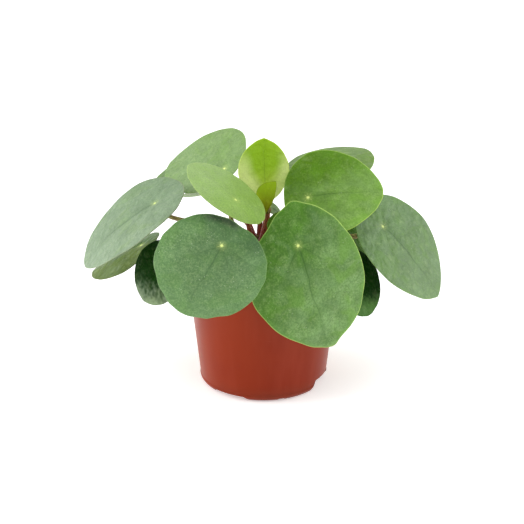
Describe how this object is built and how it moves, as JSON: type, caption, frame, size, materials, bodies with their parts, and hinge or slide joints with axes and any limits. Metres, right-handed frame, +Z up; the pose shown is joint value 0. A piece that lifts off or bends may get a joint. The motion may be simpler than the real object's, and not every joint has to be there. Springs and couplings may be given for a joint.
{
  "type": "potted chinese money plant",
  "caption": "Bushy houseplant with round waxy leaves on thin stalks from one short stem, growing in soil in a tapered plastic nursery pot.",
  "frame": {"origin": "middle of the ring that the pot stands on, on the ground", "axes": "+Z up along the pot's axis, -Y towards the side seen from the front, +X to the right in that view, along the widest spread of the leaves"},
  "size_m": [0.2265, 0.1483, 0.1586],
  "materials": {
    "pot": "satin, terracotta coloured",
    "soil": "rough, dark brown",
    "stem": "rough, brown",
    "leaf_stalk": "smooth, brown to red-brown",
    "leaf_blade": "waxy, mid green to grey-green",
    "dark_blade": "waxy, dark green",
    "young_blade": "waxy, light yellow-green"
  },
  "bodies": {
    "root": {"back_left_lower_blade": "leaf_blade", "back_left_lower_stalk": "leaf_stalk", "back_left_upper_blade": "leaf_blade", "back_left_upper_stalk": "leaf_stalk", "back_right_lower_blade": "leaf_blade", "back_right_lower_stalk": "leaf_stalk", "back_right_upper_blade": "leaf_blade", "back_right_upper_stalk": "leaf_stalk", "behind_left_blade": "leaf_blade", "behind_left_stalk": "leaf_stalk", "behind_right_blade": "leaf_blade", "behind_right_stalk": "leaf_stalk", "far_left_blade": "leaf_blade", "far_left_stalk": "leaf_stalk", "far_right_blade": "leaf_blade", "far_right_stalk": "leaf_stalk", "folded_young_blade": "young_blade", "folded_young_stalk": "leaf_stalk", "front_left_blade": "leaf_blade", "front_left_stalk": "leaf_stalk", "front_right_blade": "leaf_blade", "front_right_stalk": "leaf_stalk", "low_left_blade": "dark_blade", "low_left_stalk": "leaf_stalk", "low_right_blade": "dark_blade", "low_right_stalk": "leaf_stalk", "lower_left_blade": "dark_blade", "lower_left_stalk": "leaf_stalk", "mid_right_blade": "leaf_blade", "mid_right_stalk": "leaf_stalk", "pale_young_blade": "young_blade", "pale_young_stalk": "leaf_stalk", "pot": "pot", "small_back_blade": "leaf_blade", "small_back_stalk": "leaf_stalk", "small_front_blade": "leaf_blade", "small_front_stalk": "leaf_stalk", "soil": "soil", "stem": "stem", "top_young_blade": "young_blade", "top_young_stalk": "leaf_stalk", "upper_left_blade": "leaf_blade", "upper_left_stalk": "leaf_stalk", "upper_right_blade": "leaf_blade", "upper_right_stalk": "leaf_stalk"}
  },
  "joints": []
}
